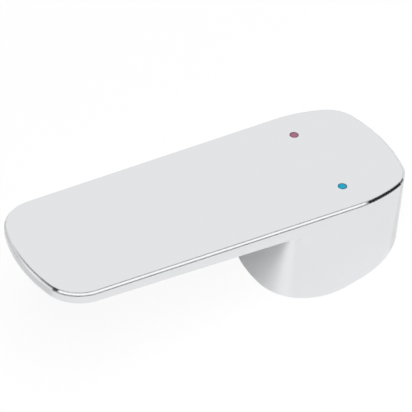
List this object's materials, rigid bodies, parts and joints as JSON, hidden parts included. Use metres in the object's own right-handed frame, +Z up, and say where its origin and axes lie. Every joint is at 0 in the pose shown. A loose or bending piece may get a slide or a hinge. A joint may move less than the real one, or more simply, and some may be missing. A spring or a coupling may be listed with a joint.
{
  "type": "tap handle",
  "caption": "Single-lever tap handle: flat chrome lever with rounded ends on a hollow round hub with a square spindle socket, a red dot for hot and a blue dot for cold.",
  "frame": {"origin": "centre of the hub's rim, in the plane of the rim", "axes": "+Z up, square to the rim; -Y along the lever, towards the person at the basin; +X on that person's right, the cold side"},
  "size_m": [0.0432, 0.1075, 0.0515],
  "materials": {
    "chrome": "bright chrome plate on a zinc casting",
    "hot_inlay": "glossy resin",
    "cold_inlay": "glossy resin",
    "screw": "plain stainless steel"
  },
  "bodies": {
    "root": {"handle_body": "chrome", "hot_dot": "hot_inlay", "cold_dot": "cold_inlay", "grub_screw": "screw"}
  },
  "joints": []
}
